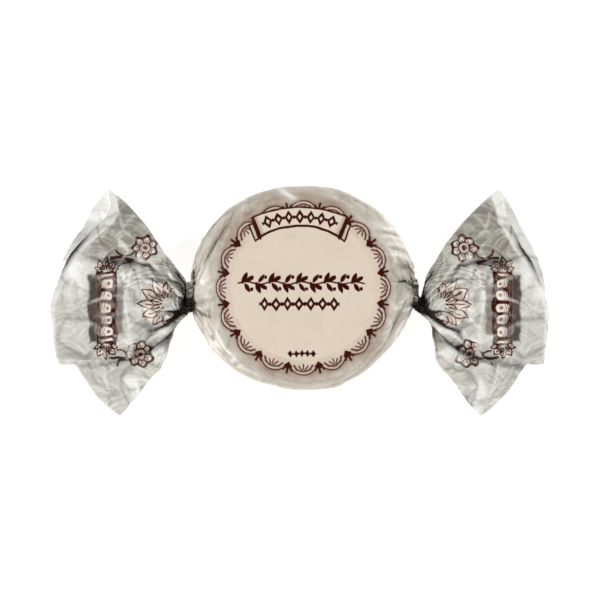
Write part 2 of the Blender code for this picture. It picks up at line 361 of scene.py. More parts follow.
def facets(x, y, size, seed):
    """Crumpled paper, whose flat triangles of about this size meet at sharp creases.

    Gives its relief, from -1 to 1, and how sharp each place's crease is: above 0 in a valley, below 0 on a
    ridge. Slow waves bend the rows of triangles, so that no two of them are alike.
    """
    heights = np.random.default_rng(seed).uniform(-1, 1, HEIGHTS_SHAPE)
    turn = 0.7 * seed
    along = x * math.cos(turn) + y * math.sin(turn)
    across = y * math.cos(turn) - x * math.sin(turn)
    along = along / size + 0.33 * np.sin(1.9 * across / size + seed) + 0.2 * np.sin(1.3 * along / size)
    bend = 0.33 * np.sin(1.7 * along - 2 * seed) + 0.15 * np.sin(2.9 * along + 1.1 * across / size)
    across = across / size + bend
    column, row = along - across / math.sqrt(3), 2 * across / math.sqrt(3)
    left, low = np.floor(column).astype(int), np.floor(row).astype(int)
    column, row = column - left, row - low

    def corner(right, up):
        return heights[(left + right) % HEIGHTS_SHAPE[0], (low + up) % HEIGHTS_SHAPE[1]]

    def fold(share):
        return np.exp(-((share * size * TRIANGLE_HEIGHT / CREASE_WIDTH) ** 2))

    lower = column + row < 1
    base = np.where(lower, corner(0, 0), corner(1, 1))
    right, up = corner(1, 0), corner(0, 1)
    base_share = np.abs(1 - column - row)
    right_share, up_share = np.where(lower, column, 1 - row), np.where(lower, row, 1 - column)
    relief = base_share * base + right_share * right + up_share * up
    crease = (corner(0, 0) + corner(1, 1) - right - up) * fold(base_share)
    crease += (right + np.where(lower, corner(-1, 1), corner(0, 2)) - base - up) * fold(right_share)
    crease += (up + np.where(lower, corner(1, -1), corner(2, 0)) - base - right) * fold(up_share)
    return relief, crease


def crumpled(x, y, sizes):
    """Crumples of several sizes together: their relief and their creases."""
    relief, crease = 0, 0
    for size, seed, height, sharpness in sizes:
        facet, edge = facets(x, y, size, seed)
        relief, crease = relief + height * facet, crease + sharpness * edge
    return relief, crease


def gathers(x, y, middle, seed):
    """Folds that spread from one point: their relief, their creases and each place's distance from it."""
    reach, way = np.hypot(x - middle[0], y - middle[1]), np.arctan2(y - middle[1], x - middle[0])
    return *facets(0.35 * reach, 14 * way, 3, seed), reach


def crease_depth(x, y, points, left_reach, right_reach):
    """How deep in a crease each plan position is, from 0 to 1. It fades towards both ends of its line."""
    points = np.array(points)
    lengths = np.hypot(*np.diff(points, axis=0).T)
    total, passed = lengths.sum(), 0
    nearest = np.full(x.shape, 1e9)
    value = np.zeros(x.shape)
    for start, end, length in zip(points, points[1:], lengths):
        along = (end - start) / length
        ahead = np.clip((x - start[0]) * along[0] + (y - start[1]) * along[1], 0, length)
        off_x, off_y = x - start[0] - ahead * along[0], y - start[1] - ahead * along[1]
        off = np.hypot(off_x, off_y)
        on_left = along[0] * off_y - along[1] * off_x > 0
        fade = np.sin(np.pi * np.clip((passed + ahead) / total, *CREASE_ENDS)) ** CREASE_END_POWER
        share = off / np.where(on_left, left_reach, right_reach)
        value = np.where(off < nearest, fade * np.exp(-(share**CREASE_SHARPNESS)), value)
        nearest = np.minimum(nearest, off)
        passed += length
    return value


def creased(x, y, creases):
    """The height that creases add, and how much shade is painted along their bottoms: narrower lines than
    the dips.
    """
    height, dark = 0, 0
    for points, rise, *reaches in creases:
        depth = crease_depth(x, y, points, *reaches)
        height = height + rise * depth
        dark = dark + held(-1.5 * rise) * ease(depth, CREASE_SHADE_DEPTHS)
    return height, dark


def knot_shade(off_x, off_y):
    """Shade painted black into the heart of a twist, by how far each place is from the neck."""
    return 1 - ease(np.hypot(off_x, off_y), KNOT_SHADE_SPAN)


def drawn_in(full, share):
    return np.sqrt((full * full - NECK_RADIUS * NECK_RADIUS) * share + NECK_RADIUS * NECK_RADIUS)


def drum_section(along):
    """Half width, half height and power of the drum's section at this place between its ends."""
    far = abs(along)
    blunt = END_BLUNTNESS * far
    return (
        drawn_in(BODY_HALF_WIDTH, 1 - blunt**2),
        drawn_in(BODY_MIDDLE, 1 - blunt**END_FLATNESS),
        mix(BODY_SQUARENESS, NECK_ROUNDNESS, ease(far, ROUNDING)),
    )


def even_ring(half_width, half_height, power):
    """A superellipse in even steps along its outline, from the middle of its underside all the way round."""

    def outline(way):
        reach = np.abs(np.cos(way) / half_width) ** power + np.abs(np.sin(way) / half_height) ** power
        reach = reach ** (-1 / power)
        return reach * np.cos(way), reach * np.sin(way)

    ways = np.linspace(-0.5 * math.pi, 1.5 * math.pi, SECTION_SAMPLES)
    y, z = outline(ways)
    passed = np.concatenate([[0], np.cumsum(np.hypot(np.diff(y), np.diff(z)))])
    y, z = outline(np.interp(np.linspace(0, passed[-1], BODY_COLUMNS + 1), passed, ways))
    turn = np.arctan2(
        np.sign(z) * np.abs(z / half_height) ** (power / 2),
        np.sign(y) * np.abs(y / half_width) ** (power / 2),
    )
    return y, z, turn


def drum_ring(along):
    """One ring of the paper over the biscuit, with the pleats that gather it to the neck."""
    end = ENDS["left" if along < 0 else "right"]
    far = abs(along)
    y, z, turn = even_ring(*drum_section(along))
    gathered = ease(far, PLEATS_GROW) * mix(1, FLAT_PLEATS, ease(far, PLEATS_FLATTEN))
    depth = PLEAT_DEPTH * gathered * (ridges(turn, NECK_PLEATS, 0) - PLEAT_SINK)
    fine = mix(*FINE_PLEAT_DEPTHS, ease(far, FINE_PLEATS_DEEPEN))
    depth += fine * ease(far, FINE_PLEATS_GROW) * ridges(turn, NECK_FINE_PLEATS, 1)
    swell = 1 + depth / np.hypot(y, z)
    pull = end["pull"] * far**NECK_PULL_POWER
    centre_y = mix(BODY_CENTRE[1], end["neck"][1], pull)
    centre_z = mix(BODY_MIDDLE, NECK_HEIGHT, pull) - BASE_PRESS
    x = np.full(y.shape, BODY_CENTRE[0] + BODY_HALF_LENGTH * along)
    return np.stack([x, centre_y + y * swell, np.maximum(centre_z + z * swell, 0)], axis=1)


def neck_ring(end, radius, out):
    """A ring of the twisted neck, out of the drum by this much."""
    y, z, turn = even_ring(radius, radius, 2)
    swell = 1 + NECK_PLEAT_DEPTH * ridges(turn, NECK_PLEATS, 0) * min(radius, 1.5) / NECK_RADIUS
    x = np.full(y.shape, end["neck"][0] + end["side"] * out)
    return np.stack([x, end["neck"][1] + y * swell, NECK_HEIGHT + z * swell], axis=1)


def shoulder(end, last):
    """Rings that carry the drum's last ring on to the closed end of the neck."""
    narrowest, *closing = (neck_ring(end, *ring) for ring in NECK_END)
    rings = []
    for step in range(1, SHOULDER_RINGS + 1):
        passed = step / SHOULDER_RINGS
        ring = mix(last, narrowest, 1 - (1 - passed) ** 2)
        ring[:, 0] = mix(last[:, 0], narrowest[:, 0], passed)
        rings.append(ring)
    return rings + closing


def drum_points():
    """Points of the paper over the biscuit from knot to knot, and how far towards an end each of them is.

    The oval that the rings make is swollen to the photograph's outline.
    """
    steps = -np.cos(np.pi * np.arange(BODY_ROWS) / (BODY_ROWS - 1))
    rings = [drum_ring(along) for along in steps]
    left, right = shoulder(ENDS["left"], rings[0]), shoulder(ENDS["right"], rings[-1])
    points = np.array(left[::-1] + rings + right)
    off_x, off_y = points[:, :, 0] - BODY_CENTRE[0], points[:, :, 1] - BODY_CENTRE[1]
    radius = np.maximum(np.hypot(off_x, off_y), 1e-6)
    swell = reading(OUTLINE_SWELL, np.degrees(np.arctan2(off_y, off_x))) / radius
    swell = swell * ease(radius, SWELL_RADIUS) * ease(np.abs(off_x), SWELL_LENGTH)
    points[:, :, 0] += off_x * swell
    points[:, :, 1] += off_y * swell
    return points, np.abs(off_x) / BODY_HALF_LENGTH


def surface_normals(points):
    """The outward normal at each point of a grid of points."""
    down, across = np.gradient(points, axis=0), np.gradient(points, axis=1)
    normals = np.cross(across, down)
    return normals / np.maximum(np.linalg.norm(normals, axis=2, keepdims=True), 1e-9)


def wrapped_place(x, y, z):
    """Distance from the label's centre along the paper, over the rim and underneath, in its direction."""
    off_x, off_y = x - LABEL_CENTRE[0], y - LABEL_CENTRE[1]
    radius = np.maximum(np.hypot(off_x, off_y), 1e-6)
    reach = radius + np.maximum(LABEL_TOP - z, 0)
    reach = reach + 2 * ease(z, WRAP_BELOW) * np.maximum(WRAP_RADIUS - radius, 0)
    return off_x * reach / radius, off_y * reach / radius


def rim_hoops(across, up):
    """Long wrinkles that run round the rim: their relief, their creases and where they show."""
    reach, way = np.hypot(across, up), np.arctan2(up, across)
    shown = ease(reach, RIM) * ease(np.abs(way), RIM_SEAM) * (1 - 0.8 * bell((way - 0.5) / 0.45))
    return *facets(3.6 * way, 1.5 * reach, 2, HOOP_SEED), shown


def body_surface():
    """Points, print coordinates and marks of the paper over the biscuit."""
    points, outward = drum_points()
    x, y, z = (points[:, :, axis] for axis in range(3))
    across, up = wrapped_place(x, y, z)
    loose = ease(np.hypot(x - LABEL_CENTRE[0], y - LABEL_CENTRE[1]), LOOSE)
    end_face = ease(outward, END_FACE)
    sideways = 1 - np.abs(np.cos(np.arctan2(up, across)))
    calm = 1 - (0.35 + 0.3 * sideways) * ease(z, CALM_TOP)
    off_table = 1 - ease(z, ON_TABLE)

    relief, crease = crumpled(across, up, BODY_CRUMPLES)
    hoops, hoop_crease, on_rim = rim_hoops(across, up)
    on_rim = on_rim * calm * loose * (1 - end_face)
    height = relief * mix(LABEL_RELIEF, calm, loose) - LOOSE_SINK * loose - END_FACE_SINK * end_face
    height += HOOP_HEIGHT * hoops * on_rim
    crease = crease * mix(LABEL_CREASE, calm, loose) * (1 - end_face) + HOOP_CREASE * hoop_crease * on_rim
    shade = np.zeros(x.shape)
    for end in ENDS.values():
        neck_x, neck_y = end["neck"]
        knot = wrapped_place(neck_x + end["side"], neck_y, NECK_HEIGHT)
        folds, fold_crease, far = gathers(across, up, knot, BODY_GATHER_SEED)
        folds = (folds - 0.5) * within(far, *BODY_GATHERS) * loose
        height += BODY_GATHER_HEIGHT * end["gathers"] * folds
        crease += GATHER_CREASE * end["gathers"] * fold_crease * within(far, *BODY_GATHER_CREASES)
        # Shade painted into the deepest valleys of the gathers
        shade += 0.7 * end["gathers"] * held(-folds - 0.8) * ease(far, BODY_GATHER_SHADE)
        shade += knot_shade(x - neck_x, 0.9 * (y - neck_y))
    height = height * ease(np.abs(x - BODY_CENTRE[0]) / BODY_HALF_LENGTH, OFF_KNOT)

    top = np.maximum(ease(z, CREASED_TOP), end_face * ease(z, CREASED_END))
    creases, dark = creased(x, y, BODY_CREASES)
    height = (height + creases * top * mix(1, 0.5, end_face)) * off_table
    # Shade painted along the placed creases' valleys on top, and into the crumples' valleys
    shade += (0.55 * dark + 0.4 * held(-creases / 0.6)) * top
    shade += FOLD_SHADE * held(crease) * off_table
    # Ridges whitened, partly as worn wax and partly as painted highlight, and the rising placed creases
    # painted white as highlight streaks
    wear = FOLD_WEAR_AND_HIGHLIGHT * held(-crease) * off_table * loose + held(2.6 * creases * top)
    points = points + surface_normals(points) * height[:, :, None]
    points[:, :, 2] = np.maximum(points[:, :, 2], 0)
    return points, np.stack([across, up], axis=2), {"fold_shade": held(shade), "fold_wear_and_highlight": held(wear)}


def crowded(along):
    """Turns even steps from -1 to 1 into steps that crowd together at both folds."""
    return 0.5 * along + 0.5 * np.sin(0.5 * np.pi * along)


def uncrowded(spread):
    steps = np.linspace(-1, 1, CROWDING_SAMPLES)
    return np.interp(spread, crowded(steps), steps)


def lane_of(angle, end):
    """Where a ray at this angle lies between the fan's bottom and top sides, from -1 to 1."""
    low, high = end["bottom"][-1][1], end["top"][-1][1]
    return 2 * (angle - low) / (high - low) - 1


def lap_edge(share, end):
    """Edge angle of the lane that the front layer's free edge follows out from the neck."""
    low, high = reading(end["bottom"], share), reading(end["top"], share)
    lane = (reading(end["lap"], share) - low) / (high - low)
    return mix(end["bottom"][-1][1], end["top"][-1][1], held(lane))


def folds_rise(folds, angle, share):
    rise = 0
    for neck_angle, edge_angle, neck_rise, edge_rise, half_width in folds:
        middle = mix(neck_angle, edge_angle, share)
        rise = rise + mix(neck_rise, edge_rise, share) * tent((angle - middle) / half_width)
    return rise * ease(share, FOLDS_GROW)


def neck_pleats(share, spread, facing):
    """The neck's pleats at places of a fan, turned by its twist."""
    twist = math.radians(NECK_TWIST) * ease(share, NECK_TWIST_SPAN)
    turn = np.arccos(np.clip(spread, -1, 1)) * facing
    fine = ridges(turn + 0.5 * twist, NECK_FINE_PLEATS, 1)
    return ridges(turn + twist, NECK_PLEATS, 0) + 0.4 * fine


def arc(angle, reach):
    """How far apart two rays at this angle are, at this distance from the neck."""
    return angle * math.radians(1) * np.maximum(reach, 1)


def fan_layer(share, spread, end, layer):
    """Places of one layer of a fan as distances out, up and above the table, and the shade painted into its
    folds.

    Share is 0 at the neck and 1 at the cut edge, and spread is -1 at the bottom fold and 1 at the top one.
    """
    facing = -1 if layer == "back" else 1
    lane = (spread + 1) / 2
    bottom, top = end["bottom"], end["top"]
    edge_angle = mix(bottom[-1][1], top[-1][1], lane)
    direction = np.radians(mix(reading(bottom, share), reading(top, share), lane))
    reach = share * reading(end[layer], edge_angle)
    pleats = neck_pleats(share, spread, facing)
    swell = 1 + NECK_PLEAT_DEPTH * np.exp(-share / CRIMP_REACH) * pleats / NECK_RADIUS
    across = reach * np.cos(direction)
    rise = NECK_RADIUS * spread * swell + reach * np.sin(direction)

    power = mix(2, FAN_SQUARENESS, ease(share, FAN_SQUARE_FROM))
    bulge = (1 - np.abs(spread) ** power) ** (1 / power)
    half_gap = mix(NECK_RADIUS, FAN_HALF_GAP, ease(share, (0, 1))) - FAN_PINCH * np.sin(np.pi * share)
    inner = 1 - np.abs(spread) ** FAN_SIDE_POWER
    folds = folds_rise(BACK_FOLDS if layer == "back" else FRONT_FOLDS, edge_angle, share)
    z = NECK_HEIGHT - FAN_DROOP * share * share + half_gap * bulge * facing * swell + folds * inner

    creases, crease_painted_shade = creased(across, rise, FAN_CREASES)
    dips = np.minimum(creases, 0) * inner
    past_lap = edge_angle - lap_edge(share, end)
    # Shade painted into the valleys of the neck's pleats, weaker higher up
    dark = 0.75 * held(-pleats - PLEAT_SHADE_FROM) * np.exp(-share / PLEAT_SHADE_REACH)
    dark = dark * (1 - 0.75 * ease(rise, PLEAT_SHADE_FADE))
    if layer == "front":
        roll = sum(high * bell((arc(past_lap, reach) - off) / wide) for off, wide, high in EDGE_ROLL)
        z = z + roll * within(share, *EDGE_ROLL_SPANS) + np.maximum(creases, 0) + dips
        from_edge = reading(end["front"], edge_angle) * (1 - share)
        # A shadow painted as a dark line just inside the cut edge
        cut_edge_shadow = bell(from_edge / CUT_EDGE_WIDTH) * bell((edge_angle - CUT_EDGE_MIDDLE) / CUT_EDGE_HALF)
        dark = dark + crease_painted_shade + 1.2 * cut_edge_shadow
    elif layer == "flap":
        z = z + 1.2 * dips - LAP_DROP * ease(share, LAP_SPAN) * inner
        # The free edge's shadow painted on the flap just below it
        dark = dark + 0.65 * bell(arc(-past_lap, reach)) * within(share, *EDGE_SHADE_SPANS)
    return across, rise, z, dark


def fan_unrolled(across, rise, end):
    """Places on the sheet laid out flat, so that its creases run on round both folds."""
    angle = np.arctan2(rise, np.maximum(across, 1e-6))
    top, bottom = math.radians(end["top"][-1][1]), math.radians(end["bottom"][-1][1])
    angle = np.where(ON_BACK, 2 * top - angle, np.where(ON_FLAP, 2 * (top - bottom) + angle, angle))
    reach = np.hypot(across, rise)
    return reach * np.cos(0.8 * angle), reach * np.sin(0.8 * angle)


def fan_surface(end):
    """Points, print coordinates and marks of one fan's sheet, from free edge to free edge."""
    share = (np.arange(FAN_ROWS + 1) / FAN_ROWS)[:, None] ** FAN_ROW_CROWDING
    lap = lane_of(lap_edge(share, end), end)
    flap_end = uncrowded(lane_of(FLAP_END_ANGLE, end))
    front = crowded(mix(uncrowded(lap), 1, np.linspace(0, 1, FRONT_COLUMNS + 1)[None, :]))
    back = crowded(np.linspace(1, -1, BACK_COLUMNS + 1))[None, :]
    flap = crowded(np.linspace(-1, flap_end, FLAP_COLUMNS + 1))[None, :]
    spreads = {"front": front, "back": back, "flap": flap}
    layers = (fan_layer(share, spread, end, layer) for layer, spread in spreads.items())
    across, rise, z, dark = (
        np.concatenate([first, second[:, 1:], third[:, 1:]], axis=1) for first, second, third in zip(*layers)
    )
    near = np.hypot(across, rise)
    points = np.stack([end["neck"][0] + end["side"] * across, end["neck"][1] + rise, z], axis=2)

    unrolled = fan_unrolled(across, rise, end)
    relief, crease = crumpled(*unrolled, FAN_CRUMPLES)
    folds, fold_crease, _ = gathers(*unrolled, (0, 0), FAN_GATHER_SEED)
    off_neck = ease(share, FAN_CRUMPLES_GROW)
    relief = relief * off_neck + FAN_GATHER_HEIGHT * folds * ease(share, FAN_GATHERS_GROW)
    calm_from = np.where(COLUMNS > FRONT_COLUMNS, CALM_BEHIND, CALM_FRONT)
    calm = CALM_AMOUNT * ease(rise, (calm_from, calm_from + CALM_OVER))
    relief = -end["side"] * relief * (1 - calm)
    under_front = 0.8 * ease(flap[:, 1:], (lap, lap + 0.12))
    relief[:, ON_FLAP] *= 1 - np.maximum(under_front, 0.45 * ease(flap[:, 1:], (-1, -0.8)))
    points = points + surface_normals(points) * relief[:, :, None]

    fold_crease = fold_crease * ease(near, FAN_GATHER_CREASES_FADE) * ease(share, FAN_GATHER_CREASES_GROW)
    crease = crease * off_neck + GATHER_CREASE * fold_crease
    # Shade painted into the knot's heart, the layer's dark lines and the crumples' valleys, then into the
    # gathers' deepest valleys
    shade = knot_shade(across, 0.8 * rise) + dark + FOLD_SHADE * held(crease)
    shade = shade + 0.5 * held(-folds - 0.45) * ease(near, FAN_GATHER_SHADE)
    # A band of shade painted along the front layer's free edge
    shade = shade + 1.1 * np.exp(-COLUMNS / 4) * within(share, *EDGE_SHADE_SPANS)
    marks = {
        "fold_shade": held(shade),
        "fold_wear_and_highlight": held(FOLD_WEAR_AND_HIGHLIGHT * held(-crease)),
        "from_edge": near * (1 / share.clip(0.01) - 1),
    }
    return points, np.stack([across, rise], axis=2), marks


def grid_mesh(name, rows, columns, half_size):
    """A flat square grid."""
    bm = bmesh.new()
    bmesh.ops.create_grid(bm, x_segments=rows, y_segments=columns, size=half_size)
    mesh = bpy.data.meshes.new(name)
    bm.to_mesh(mesh)
    bm.free()
    return mesh


def edit(mesh, change):
    """Takes the mesh into a bmesh, makes the change there and puts it back."""
    bm = bmesh.new()
    bm.from_mesh(mesh)
    change(bm)
    bm.to_mesh(mesh)
    bm.free()


def weld(bm):
    """Merges a closed surface where its sides and its ends meet, and faces it outwards."""
    bmesh.ops.remove_doubles(bm, verts=bm.verts, dist=WELD_DISTANCE * MM)
    bmesh.ops.recalc_face_normals(bm, faces=bm.faces)
    if bm.calc_volume(signed=True) < 0:
        turn_over(bm)


def turn_over(bm):
    bmesh.ops.reverse_faces(bm, faces=bm.faces)


def paper_mesh(name, points, print_at, marks):
    """Bends a flat grid to these points.

    The marks are what the paper's material reads at each point: how much shade is painted into its folds
    there, how worn their ridges are and how much highlight is painted on them, and on a fan how far its cut
    edge is.
    """
    rows, columns = points.shape[0] - 1, points.shape[1] - 1
    mesh = grid_mesh(name, rows, columns, 0.5)
    flat = np.empty(len(mesh.vertices) * 3)
    mesh.vertices.foreach_get("co", flat)
    flat = flat.reshape(-1, 3)
    row = np.rint((flat[:, 0] + 0.5) * rows).astype(int)
    column = np.rint((flat[:, 1] + 0.5) * columns).astype(int)
    mesh.vertices.foreach_set("co", (points[row, column] * MM).ravel())
    corners = np.empty(len(mesh.loops), np.int32)
    mesh.loops.foreach_get("vertex_index", corners)
    layer = mesh.uv_layers.new(name="print")
    layer.data.foreach_set("uv", print_at[row[corners], column[corners]].ravel())
    for mark, values in marks.items():
        mesh.attributes.new(mark, "FLOAT", "POINT").data.foreach_set("value", values[row, column])
    mesh.update()
    return mesh


class Amount:
    """A number that varies over a surface. Arithmetic on it adds Math nodes to its material."""

    def __init__(self, tree, socket):
        self.tree, self.socket = tree, socket

    def maths(self, operation, *others, clamp=False):
        node = self.tree.nodes.new("ShaderNodeMath")
        node.operation, node.use_clamp = operation, clamp
        for slot, value in zip(node.inputs, (self, *others)):
            if isinstance(value, Amount):
                self.tree.links.new(value.socket, slot)
            else:
                slot.default_value = value
        return Amount(self.tree, node.outputs[0])

    def ramp(self, slope, start=0):
        """The amount times the slope plus the start, held between 0 and 1."""
        return self.maths("MULTIPLY_ADD", slope, start, clamp=True)

    __add__ = partialmethod(maths, "ADD")
    __sub__ = partialmethod(maths, "SUBTRACT")
    __rsub__ = partialmethod(maths, "MULTIPLY_ADD", -1)
    __mul__ = __rmul__ = partialmethod(maths, "MULTIPLY")
    __truediv__ = partialmethod(maths, "DIVIDE")
    __abs__ = partialmethod(maths, "ABSOLUTE")


INK_BLUR = 0.14


def far_from(x, y):
    return (x * x + y * y).maths("SQRT")


def least(first, *others):
    for other in others:
        first = first.maths("MINIMUM", other)
    return first


def most(first, *others):
    for other in others:
        first = first.maths("MAXIMUM", other)
    return first


def inside(depth, blur=INK_BLUR):
    """1 where the depth in from an outline is above 0, and 0 outside it."""
    return depth.ramp(1 / blur, 0.5)


def line(off, width, blur=INK_BLUR):
    """A line of this width where the distance off it is 0."""
    return abs(off).ramp(-1 / blur, 0.5 * width / blur + 0.5)


def repeated(place, pitch):
    """Place measured from the middle of the nearest repeat."""
    return place - (place / pitch).maths("ROUND") * pitch


def box(x, y, centre, half_width, half_height):
    return least(half_width - abs(x - centre[0]), half_height - abs(y - centre[1]))


def patch(x, y, middle, radii):
    """1 well within an oval place, and down to 0 at its edge."""
    return far_from((x - middle[0]) / radii[0], (y - middle[1]) / radii[1]).ramp(-2.4, 2.4)


# The label's border: scallops between its plain middle and its rim, each with ribs that spread from a point
LABEL_RADIUS = 17.5
SCALLOPS = 16
SCALLOP_STEP = 2 * math.pi / SCALLOPS
SCALLOP_BASE = 18.3
SCALLOP_WIDTH = 3.4
SCALLOP_HEIGHT = 3
SCALLOP_RINGS = (0.98, 0.68)
RIBS_FROM = 20.5
RIB_PITCH = 0.62

# The arrows between the scallops: radius at the head's base, its tip, the barbs' base and the shaft's ends
ARROW_HEAD = (18.1, 20.1)
ARROW_BARBS = (19.1, 20.5)
ARROW_SHAFT = (19, 21.2)


def lace(x, y):
    """The scalloped border: its thin lines, arrows, the soft tint round them, its ground and the radius."""
    radius = far_from(x, y)
    lobe = y.maths("ARCTAN2", x) / SCALLOP_STEP
    off = lobe - lobe.maths("ROUND")
    along = off * radius * SCALLOP_STEP
    out = radius - SCALLOP_BASE
    oval = far_from(along / SCALLOP_WIDTH, out / SCALLOP_HEIGHT)
    outer, inner = ((oval - ring) * SCALLOP_HEIGHT for ring in SCALLOP_RINGS)
    outside = inside(out - 0.4)
    arcs = most(line(outer, 0.4), line(inner, 0.46)) * outside
    inward = RIBS_FROM - radius
    way = abs(along.maths("ARCTAN2", inward))
    length = far_from(along, inward)
    ribs = line(repeated(way, RIB_PITCH) * length, 0.4) * line(length - 1.3, 1.5) * inside(1.5 - way)
    between = (0.5 - abs(off)) * radius * SCALLOP_STEP
    head = inside(least(radius - ARROW_HEAD[0], (ARROW_HEAD[1] - radius) * 1.4) - between)
    past_barb = radius - ARROW_BARBS[0]
    barb = line(between - past_barb * 0.9, 0.48) * inside(least(past_barb, ARROW_BARBS[1] - radius))
    shaft = inside(least(0.28 - between, ARROW_SHAFT[1] - radius, radius - ARROW_SHAFT[0]))
    tint = most(line(outer, 1.3, 0.9), line(inner, 0.9, 0.9)) * outside
    tint = most(tint, inside(1 - far_from(between, (radius - 19.8) * 0.7), 0.9))
    ground = most(inside((1 - oval) * SCALLOP_HEIGHT), inside(SCALLOP_BASE - radius))
    return most(arcs, ribs), most(head, barb, shaft), tint, ground, radius


# The ribbon over the border. Its edges and its row of lozenges follow circles: how far each circle's middle
# is below the label's, and its radius
RIBBON_MIDDLE = -0.85
RIBBON_TOP = (9.7, 29.35)
RIBBON_BOTTOM = (2.7, 17.75)
RIBBON_ROW = (7, 24.25)
RIBBON_ROW_RADIUS = 25
RIBBON_ROW_PITCH = 2.7

# Its slanting ends: half its length, the height where it has it, how much it grows with the height, and the
# slant's cosine
RIBBON_HALF = 9.75
RIBBON_HALF_AT = 13
RIBBON_SLANT = 0.42
RIBBON_SLANT_COSINE = 0.92


def ribbon(x, y):
    """The ribbon over the border: its depth, its lines, the shade at its ends and the row on it."""
    middle = x - RIBBON_MIDDLE
    under_top = RIBBON_TOP[1] - far_from(middle, y + RIBBON_TOP[0])
    over_bottom = far_from(middle, y + RIBBON_BOTTOM[0]) - RIBBON_BOTTOM[1]
    side = ((y - RIBBON_HALF_AT) * RIBBON_SLANT + RIBBON_HALF - abs(middle)) * RIBBON_SLANT_COSINE
    depth = least(under_top, over_bottom, side)
    tail = least(-0.3 - side, side + 1.6, under_top - 1.5, over_bottom + 0.2, y - 5)
    lines = most(
        line(depth - 0.12, 0.46),
        line(tail - 0.12, 0.46),
        line(over_bottom + 0.02, 0.5) * inside(side + 0.1),
        line(side + 0.1, 0.5) * inside(under_top) * inside(over_bottom + 0.6),
    )
    shade = abs(side).ramp(-0.8, 1.2) * inside(least(under_top, over_bottom + 0.4))
    up = y + RIBBON_ROW[0]
    way = middle.maths("ARCTAN2", up) * RIBBON_ROW_RADIUS
    out = abs(far_from(middle, up) - RIBBON_ROW[1])
    lozenge = 1.15 - abs(repeated(way, RIBBON_ROW_PITCH)) - out * 0.68
    dots = inside(0.42 - far_from(repeated(way - 0.5 * RIBBON_ROW_PITCH, RIBBON_ROW_PITCH), out))
    row = most(inside(lozenge) - inside(lozenge - 0.72), dots) * inside(9.6 - abs(way))
    return inside(most(depth, tail)), lines, shade, row


def leaf(x, y, centre, angle, half_length, half_width):
    """A leaf with a pointed tip at each end."""
    turn = math.radians(angle)
    off_x, off_y = x - centre[0], y - centre[1]
    along = (off_x * math.cos(turn) + off_y * math.sin(turn)) / half_length
    across = off_y * math.cos(turn) - off_x * math.sin(turn)
    return inside(half_width * (1 - along * along) - abs(across))


# The garland's leaves in each of its steps: middle, angle, half length and half width
GARLAND_PITCH = 3.3
GARLAND_LEAVES = (
    ((-0.55, 1.1), 66, 1.6, 0.6),
    ((0.8, 1), 30, 1.45, 0.54),
    ((0.15, -1.1), -56, 1.35, 0.54),
)


def garland(x, y):
    """A stem that waves along the label, with leaves and berries on either side of it by turns."""
    cell = (x / GARLAND_PITCH).maths("ROUND")
    near = x - cell * GARLAND_PITCH
    up = y * (1 - 2 * abs(cell.maths("MODULO", 2)))
    leaves = most(*(leaf(near, up, *shape) for shape in GARLAND_LEAVES))
    berry = inside(0.46 - far_from(near - 1.3, up + 1.45))
    wave = (x * (math.pi / GARLAND_PITCH)).maths("COSINE") * 0.3
    stem = line(y - wave, 0.42) * inside(15.4 - abs(x))
    return most(most(leaves, berry) * inside(4.5 - abs(cell)), stem)


def lozenge_row(x, y, pitch, half_width, half_height, dot, half_length):
    """Open lozenges in a row, with a dot between each two."""
    depth = (1 - abs(repeated(x, pitch)) / half_width - abs(y) / half_height) * half_width
    lozenges = inside(depth) - inside(depth - 0.75)
    dots = inside(dot - far_from(repeated(x + 0.5 * pitch, pitch), y))
    return most(lozenges, dots) * inside(half_length - abs(x))


# The scale arcs of the fans
SCALE_RADIUS = 7.4
SCALE_RINGS = 3
SCALE_SHIFT = (0.2, 0.6)


def scale_arcs(x, y):
    """Double lines round each of the overlapping scales, whose rows cover one another from below."""
    x, y = x - SCALE_SHIFT[0], y - SCALE_SHIFT[1]
    half = 0.5 * SCALE_RADIUS
    steps = y / half
    row = steps.maths("FLOOR")
    above = (steps - row) * half
    odd = abs(row.maths("MODULO", 2))
    near = far_from(repeated(x - odd * SCALE_RADIUS, 2 * SCALE_RADIUS), above)
    low = far_from(repeated(x - (1 - odd) * SCALE_RADIUS, 2 * SCALE_RADIUS), above + half)
    covered = low.maths("LESS_THAN", SCALE_RADIUS)
    reach = near + covered * (low - near)
    ring = repeated(reach, SCALE_RADIUS / SCALE_RINGS)
    return line(abs(ring) - 0.5, 0.5, 0.3) * inside(reach - 1)


# The rosettes of the fans: middle and radius
ROSETTES = (((10.6, 14.2), 3.2), ((11.8, -11.9), 3.3))
PETALS = 7


def rosette(x, y, centre, radius):
    """A round flower: its lines, its ground and its shading."""
    off_x, off_y = x - centre[0], y - centre[1]
    reach = far_from(off_x, off_y)
    way = off_y.maths("ARCTAN2", off_x)
    eye = 0.42 * radius
    edge = (way * PETALS).maths("COSINE") * (0.1 * radius) + 0.88 * radius
    petal = repeated(way + math.pi / PETALS, 2 * math.pi / PETALS) * reach
    gaps = line(petal, 0.46) * inside(reach - eye) * inside(edge - reach)
    veins = line(abs(petal) - 0.2 * radius, 0.22) * inside(reach - 0.5 * radius) * inside(0.8 * edge - reach)
    rings = most(line(reach - edge, 0.75), line(reach - eye, 0.46), inside(0.17 * radius - reach))
    shading = (0.95 * radius - reach + off_x * 0.35).ramp(0.42)
    return most(rings, gaps, veins), inside(edge - reach), shading


